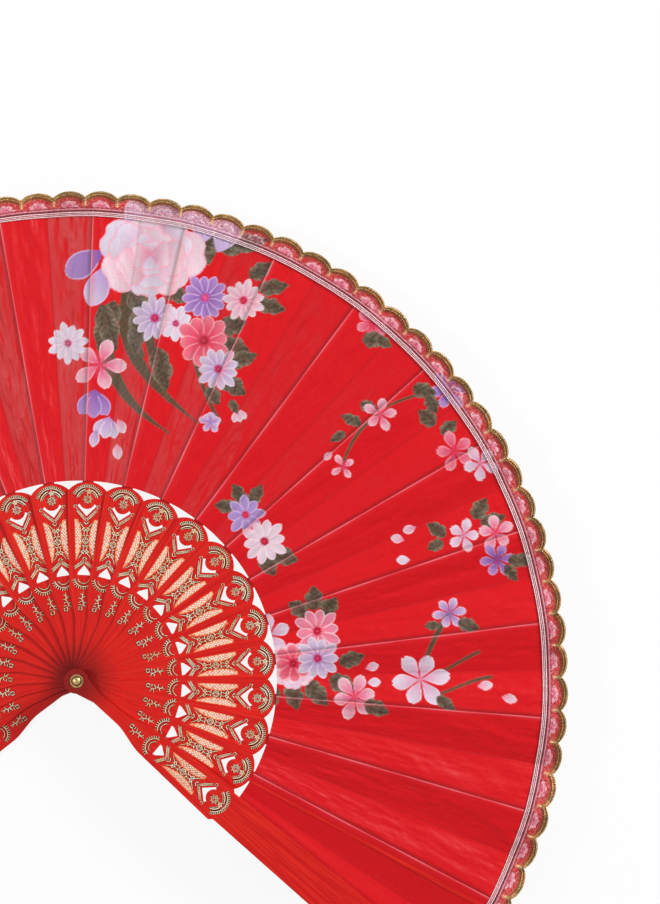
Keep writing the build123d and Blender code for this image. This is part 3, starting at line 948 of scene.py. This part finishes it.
def print_with_painted_fold_light(x, y, share, out):
    """The print with its folds: a painted highlight along each fold, a painted light band after it, and
    painted shade before it and along each valley.
    """
    colours = printed(x, y)
    arc = np.radians(PITCH) * out
    from_fold = np.minimum(share, 1 - share) * arc
    from_valley = np.abs(share - 0.5) * arc
    patchy = 0.55 + 0.45 * np.sin(out * 0.11 + np.floor(share) * 2.0 + x * 0.05)
    # The pale line along each raised fold is a painted highlight, its strength varying along the fold.
    pale = soft(0.24 - from_fold, 0.5) * (0.30 + 0.60 * patchy)
    colours += pale[:, None] * (np.array((252, 176, 184)) - colours)
    # A painted light band on the lit side after each fold.
    painted_light_band = soft(1.4 - from_fold, 2.2) * (share < 0.5) * (0.12 + 0.20 * patchy)
    colours += painted_light_band[:, None] * (np.array((246, 92, 104)) - colours)
    # Painted shade: a dark band before each fold, and a soft one along each valley.
    before = (share > 0.5) * soft(1.4 - from_fold, 1.8) * (1 - soft(0.3 - from_fold, 0.4)) * 0.26
    colours *= (1 - np.maximum(before, soft(0.2 - from_valley, 1.6) * 0.12))[:, None]
    return colours


def paint_all(pieces, attribute, paint):
    """Works out the colour at every point of all the stretches at once, and keeps it on them."""
    places = [share_across(piece.data, member) for member, piece in enumerate(pieces)]
    share = np.concatenate([part for part, spots in places])
    spots = np.concatenate([spots for part, spots in places])
    x, y = spots[:, 0], spots[:, 1]
    colours = paint(x, y, share, np.hypot(x, y))
    edges = np.cumsum([0] + [len(part) for part, spots in places])
    for member, piece in enumerate(pieces):
        store_colour(piece.data, attribute, colours[edges[member] : edges[member + 1]])


# The print attribute gets the print with painted highlights and shade along the folds.
paint_all(stretches, "print", print_with_painted_fold_light)


# Lace edge: a narrow band of dyed lace sewn over the leaf's edge, three scallops to a stick, each
# with half a pale flower. The leaf's print shows through it where a printed flower runs on.
LACE_INNER = 207.2
LACE_OUTER = 215.9
SCALLOP_RISE = 2.7
LACE_COLUMNS = 97
LACE_ROWS = 41

lace_net, knit = sight("dyed_lace")
place = knit.place()
# This attribute holds the lace's colour with painted glints on its threads.
colour_with_painted_light = knit.add("ShaderNodeAttribute", {"attribute_name": "colour_with_painted_light"}, None, out="Color")
mesh_holes = knit.add("ShaderNodeTexVoronoi", None, {"Vector": place, "Scale": 1500.0})
fuzz = knit.noise(place, 2100.0, 3.0)
holes_dark = mesh_holes.between(0.28, 0.10) * 0.45
lace_colour = holes_dark.mix(colour_with_painted_light, (0.16, 0.01, 0.015, 1))
lace_colour = (fuzz.between(0.55, 0.75) * 0.22).mix(lace_colour, (0.95, 0.72, 0.74, 1))
lace_bump = knit.bump(0.6, 0.0002, mesh_holes + fuzz * 0.6)
knit.finish(lace_colour, 0.55 + 0.25 * fuzz, lace_bump, {"Sheen Weight": 0.2})


def lace_colour_and_glints(x, y, share, out):
    """The lace's colour: the print below shows through, then each scallop's own flower and rim, with
    painted glints on the threads.
    """
    colour = printed(x, y)
    strength = np.clip((np.abs(colour - np.array(GROUND)).sum(1) - 60) / 200, 0, 1)
    red = np.tile(np.array((178.0, 14, 34)), (len(x), 1))
    colour = red + (colour - red) * (0.95 * strength)[:, None]
    quiet = 1 - 0.75 * strength
    phase = (share * 3 + SCALLOP_PHASE) % 1.0
    wide = math.radians(PITCH / 3) * LACE_REACH
    side = (phase - 0.5) * wide
    rise = out - LACE_INNER

    def lay(amount, paint):
        nonlocal colour
        colour = colour + amount[:, None] * (np.array(paint, float) - colour)

    lay(soft(0.45 - np.abs(rise - 2.6), 0.4) * (0.35 + 0.5 * quiet), (86, 4, 20))
    lay(soft(0.26 - np.abs(rise - 3.3), 0.35) * 0.85, (248, 182, 194))
    lay(soft(0.28 - np.abs(rise - 4.0), 0.35) * 0.6 * quiet, (110, 8, 26))
    flower_rise, flower_squeeze, flower_reach = 4.3, 0.72, 2.7
    off = np.hypot(side * flower_squeeze, rise - flower_rise)
    around = np.arctan2(rise - flower_rise, side * flower_squeeze)
    dome = (rise > 4.1) & (off < 5.6)
    lay(dome * soft(off - 2.6, 0.5) * quiet * 0.85, (206, 30, 26))
    reach = flower_reach * (0.76 + 0.24 * np.abs(np.cos(around * 3.5)))
    upper = rise > 4.2
    lay(soft(reach - off) * upper * quiet, (236, 140, 164))
    lay(soft(reach * 0.55 - off) * upper * 0.6 * quiet, (214, 60, 92))
    lay(soft(0.3 - np.abs(off - reach), 0.3) * upper * 0.8, (252, 210, 218))

    def flecks(across, up, lean, curl, spin, least):
        """Small random spots over the flowers."""
        wave = np.sin(x * across + 2 * lean * np.sin(y * curl))
        wave = wave * np.sin(y * up - 2 * lean * np.sin(x * spin))
        return (wave > least) & (rise > 3.4)

    lay(flecks(4.3, 4.9, 1, 2.2, 1.9, 0.2) * 0.5, (112, 14, 26))
    # Pale flecks: painted glints on the lace's threads.
    lay(flecks(5.1, 4.3, -1, 1.7, 2.3, 0.5) * 0.5, (250, 206, 206))
    bow = np.sqrt(np.maximum(SCALLOP_BOW - (2 * np.abs(phase - 0.5)) ** 2, 0))
    depth = LACE_OUTER + SCALLOP_RISE * (bow * SCALLOP_STRETCH - SCALLOP_DROP) - out
    tuft = np.sin(phase * 44 + depth * 3.1) * np.sin(depth * 4.4 - phase * 21)
    lay(soft(2.9 - depth, 0.5) * 0.85, (134, 66, 26))
    lay((tuft > 0.1) * (depth < 3.1) * 0.75, (212, 104, 42))
    lay((tuft < -0.25) * (depth < 2.7) * 0.75, (86, 58, 22))
    lay(soft(1.5 - depth, 0.4) * 0.75, (164, 140, 84))
    # Cream spots on the gold edge: painted glints on the metal thread.
    lay((tuft > 0.25) * (depth < 1.6) * 0.8, (236, 206, 140))
    notch = soft(0.75 - (wide / 2 - np.abs(side)), 0.5) * (rise > 4.6)
    lay(notch * 0.7, (244, 200, 140))
    return colour


def near_top(member):
    """The last stretches have less room under the front guard."""
    return member > MEMBERS - 4


def lace_lift(member):
    """How far the lace lies above the leaf, in mm."""
    return 0.14 if near_top(member) else 0.26


lace_pieces = []
for member in range(MEMBERS - 1):
    settings = stretch_values(member)
    settings |= {"Inner": LACE_INNER, "Outer": LACE_OUTER, "Scallop": SCALLOP_RISE}
    settings |= {"Lift": lace_lift(member), "Columns": LACE_COLUMNS, "Rows": LACE_ROWS}
    settings |= {"Finish": lace_net}
    lace_pieces.append(grown(f"lace_{member:02d}", blank, pleat.tree, pleat_named, settings))
paint_all(lace_pieces, "colour_with_painted_light", lace_colour_and_glints)


# Sewing along the edge: two fine cords over the seam with a looped braid between them, and a rim of
# looped gold thread round the scallops with a bar of cream stitches at each notch. All of it is
# stitched to the leaf and the lace.

braid_thread, plait = sight("braid_thread")
place = plait.place()
twist = plait.noise(place, 1700.0, 2.0)
plait_colour = twist.between(0.4, 0.62).mix((0.98, 0.66, 0.72, 1), (1.0, 0.88, 0.90, 1))
plait_colour = (twist.between(0.40, 0.30) * 0.35).mix(plait_colour, (0.42, 0.16, 0.20, 1))
plait_bump = plait.bump(0.5, 0.0001, twist)
plait.finish(plait_colour, 0.45 + 0.2 * twist, plait_bump, {"Sheen Weight": 0.3})

grey_braid, ladder = sight("grey_braid")
place = ladder.place()
knots = ladder.add("ShaderNodeTexVoronoi", None, {"Vector": place, "Scale": 1300.0})
grey_colour = knots.between(0.15, 0.45).mix((0.55, 0.28, 0.32, 1), (0.88, 0.64, 0.68, 1))
grey_bump = ladder.bump(0.7, 0.0002, knots)
ladder.finish(grey_colour, 0.5 + 0.2 * knots, grey_bump)

gold_thread, lurex = sight("gold_thread")
place = lurex.place()
glint = lurex.noise(place, 1900.0, 2.0)
tint = lurex.noise(place, 260.0, 2.0)
thread_colour = tint.between(0.35, 0.65).mix((0.34, 0.24, 0.09, 1), (0.86, 0.48, 0.16, 1))
thread_colour = glint.between(0.52, 0.64).mix(thread_colour, (1.0, 0.86, 0.55, 1))
thread_colour = (glint.between(0.42, 0.34) * 0.8).mix(thread_colour, (0.10, 0.045, 0.02, 1))
thread_bump = lurex.bump(0.5, 0.0001, glint)
lurex.finish(thread_colour, 0.30 + 0.2 * glint, thread_bump, {"Metallic": 0.55})


thread_inputs = dict.fromkeys(("Thread", "Flatness", "Loop spacing", "Loop size"), "Float")
trim_inputs = {"Path": "Geometry", **fold_inputs, **thread_inputs, "Finish": "Material"}
sew, wires, sew_named = tree_with("sewn_thread", trim_inputs)
flat_x, flat_y, flat_z = sew.add("GeometryNodeInputPosition").split()
lifted = sew.add("ShaderNodeCombineXYZ", None, {"Z": wires["Lift"] / 1000})
ends = {0: on_pleats(sew, wires, flat_x, flat_y), 1: lifted}
spot = sew.add("ShaderNodeVectorMath", {"operation": "ADD"}, ends)
laid = sew.add("GeometryNodeSetPosition", None, {"Geometry": wires["Path"], "Position": spot})
line = sew.add("GeometryNodeMeshToCurve", None, {"Mesh": laid})
swell = sew.add("GeometryNodeInputNamedAttribute", {"data_type": "FLOAT"}, {"Name": "swell"})
circle = {"Resolution": 6, "Radius": wires["Thread"] * 0.5}
section = sew.add("GeometryNodeCurvePrimitiveCircle", None, circle)
squeeze = sew.add("ShaderNodeCombineXYZ", None, {"X": wires["Flatness"], "Y": 1.0, "Z": 1.0})
section = sew.add("GeometryNodeTransform", None, {"Geometry": section, "Scale": squeeze})
sockets = {"Curve": line, "Profile Curve": section, "Scale": swell, "Fill Caps": True}
cord = sew.add("GeometryNodeCurveToMesh", None, sockets)
sockets = {"Curve": line, "Length": wires["Loop spacing"]}
spots = sew.add("GeometryNodeCurveToPoints", {"mode": "LENGTH"}, sockets)
turns = Wire(sew.tree, spots.socket.node.outputs["Rotation"])
loop_size = {"Resolution": 7, "Radius": wires["Loop size"]}
loop_line = sew.add("GeometryNodeCurvePrimitiveCircle", None, loop_size)
loop_thread = {"Resolution": 4, "Radius": wires["Loop size"] * 0.27}
loop_section = sew.add("GeometryNodeCurvePrimitiveCircle", None, loop_thread)
sockets = {"Curve": loop_line, "Profile Curve": loop_section, "Scale": 1.0}
loop = sew.add("GeometryNodeCurveToMesh", None, sockets)
loop_tilt = Euler((0.35, math.radians(70), 0.5))
sockets = {"Geometry": loop, "Rotation": loop_tilt, "Scale": (1.0, 1.5, 0.8)}
tip_over = sew.add("GeometryNodeTransform", None, sockets)
pressed_flat = {"Geometry": tip_over, "Scale": (0.45, 1.0, 1.0)}
tip_over = sew.add("GeometryNodeTransform", None, pressed_flat)
sockets = {"Points": spots, "Instance": tip_over, "Rotation": turns}
loops = sew.add("GeometryNodeInstanceOnPoints", None, sockets)
trim = sew.add("GeometryNodeJoinGeometry")
for layer in (cord, loops):
    sew.tree.links.new(layer.socket, trim.socket.node.inputs[0])
real = sew.add("GeometryNodeRealizeInstances", None, {"Geometry": trim})
dressed = sew.add("GeometryNodeSetMaterial", None, {"Geometry": real, "Material": wires["Finish"]})
end_tree(sew, dressed)


def path_mesh(name, paths):
    """Lines on the flat leaf: across from fold to fold, out in mm, and how full the thread is."""
    mesh = bpy.data.meshes.new(name)
    points = [(across, out, 0.0) for path in paths for across, out, full in path]
    full = [full for path in paths for across, out, full in path]
    edges = []
    first = 0
    for path in paths:
        edges += [(first + step, first + step + 1) for step in range(len(path) - 1)]
        first += len(path)
    mesh.from_pydata(points, edges, [])
    mesh.attributes.new("swell", "FLOAT", "POINT").data.foreach_set("value", full)
    return mesh


def scallop_edge(across):
    """Reach of the lace at a place between the folds."""
    off = abs((across * 3 + SCALLOP_PHASE) % 1.0 - 0.5) * 2
    bow = math.sqrt(max(SCALLOP_BOW - off * off, 0))
    return LACE_OUTER + SCALLOP_RISE * (bow * SCALLOP_STRETCH - SCALLOP_DROP)


seam_reaches = (207.5, 209.0)
braid_reach = 208.25
rim_depths = (0.55, 1.65)
notch_foot, notch_bend = 212.2, 213.4
fine = [step / 90 for step in range(91)]
seam_lines = path_mesh("seam_lines", [[(s, out, 1.0) for s in fine] for out in seam_reaches])
ladder_line = path_mesh("ladder_line", [[(s, braid_reach, 1.0) for s in fine]])
rims = [[(s, scallop_edge(s) - depth, 1.0) for s in fine] for depth in rim_depths]
rim_line = path_mesh("rim_line", rims)
notches = []
for number in range(-1, 4):
    middle = (number - SCALLOP_PHASE + 1) / 3
    if 0.01 < middle < 0.99:
        foot = [(middle, notch_foot, 0.7), (middle + 0.004, notch_bend, 1.0)]
        notches.append(foot + [(middle, LACE_OUTER - 1.0, 0.8)])
notch_lines = path_mesh("notch_lines", notches)

cream, stitch = sight("cream_stitches")
place = stitch.place()
fibre = stitch.noise(place, 1500.0, 2.0)
cream_colour = fibre.between(0.35, 0.65).mix((0.80, 0.52, 0.26, 1), (1.0, 0.90, 0.70, 1))
cream_bump = stitch.bump(0.5, 0.0001, fibre)
stitch.finish(cream_colour, 0.4 + 0.2 * fibre, cream_bump)

# Each trim: its lines, thread, flatness, loop spacing and size in metres, finish, and lift in mm
trims = {
    "seam_cords": (seam_lines, 0.00074, 0.6, 0.5, 0.0, braid_thread, 0.30),
    "seam_braid": (ladder_line, 0.00090, 0.5, 0.0011, 0.00030, grey_braid, 0.14),
    "gold_rim": (rim_line, 0.00105, 0.42, 0.00110, 0.00080, gold_thread, 0.06),
    "notch_stitches": (notch_lines, 0.00060, 0.6, 0.5, 0.0, cream, 0.20),
}
for member, cloth_piece in enumerate(stretches):
    lace_piece = lace_pieces[member]
    sewn = []
    for label, (path, thread, flatness, spacing, size, finish, lift) in trims.items():
        settings = stretch_values(member)
        settings |= {"Lift": lace_lift(member) + lift * (0.5 if near_top(member) else 1.0)}
        settings |= {"Thread": thread, "Flatness": flatness, "Finish": finish}
        settings |= {"Loop spacing": spacing, "Loop size": size}
        sewn.append(grown(f"{label}_{member:02d}", path, sew.tree, sew_named, settings))
    for piece in [cloth_piece, lace_piece] + sewn:
        fold_with(piece, member)
    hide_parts(leaf_nodes[member])
    if member == MEMBERS - 2:
        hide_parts("leaf_end_front")
    ring = math.radians(PITCH) / 2
    cut = ring * (LEAF_OUTER**2 - LEAF_INNER**2) / 1e6
    cut * 1.02
    lace_cut = ring * ((LACE_OUTER + 2.2) ** 2 - LACE_INNER**2) / 1e6
    lace_cut * 1.02
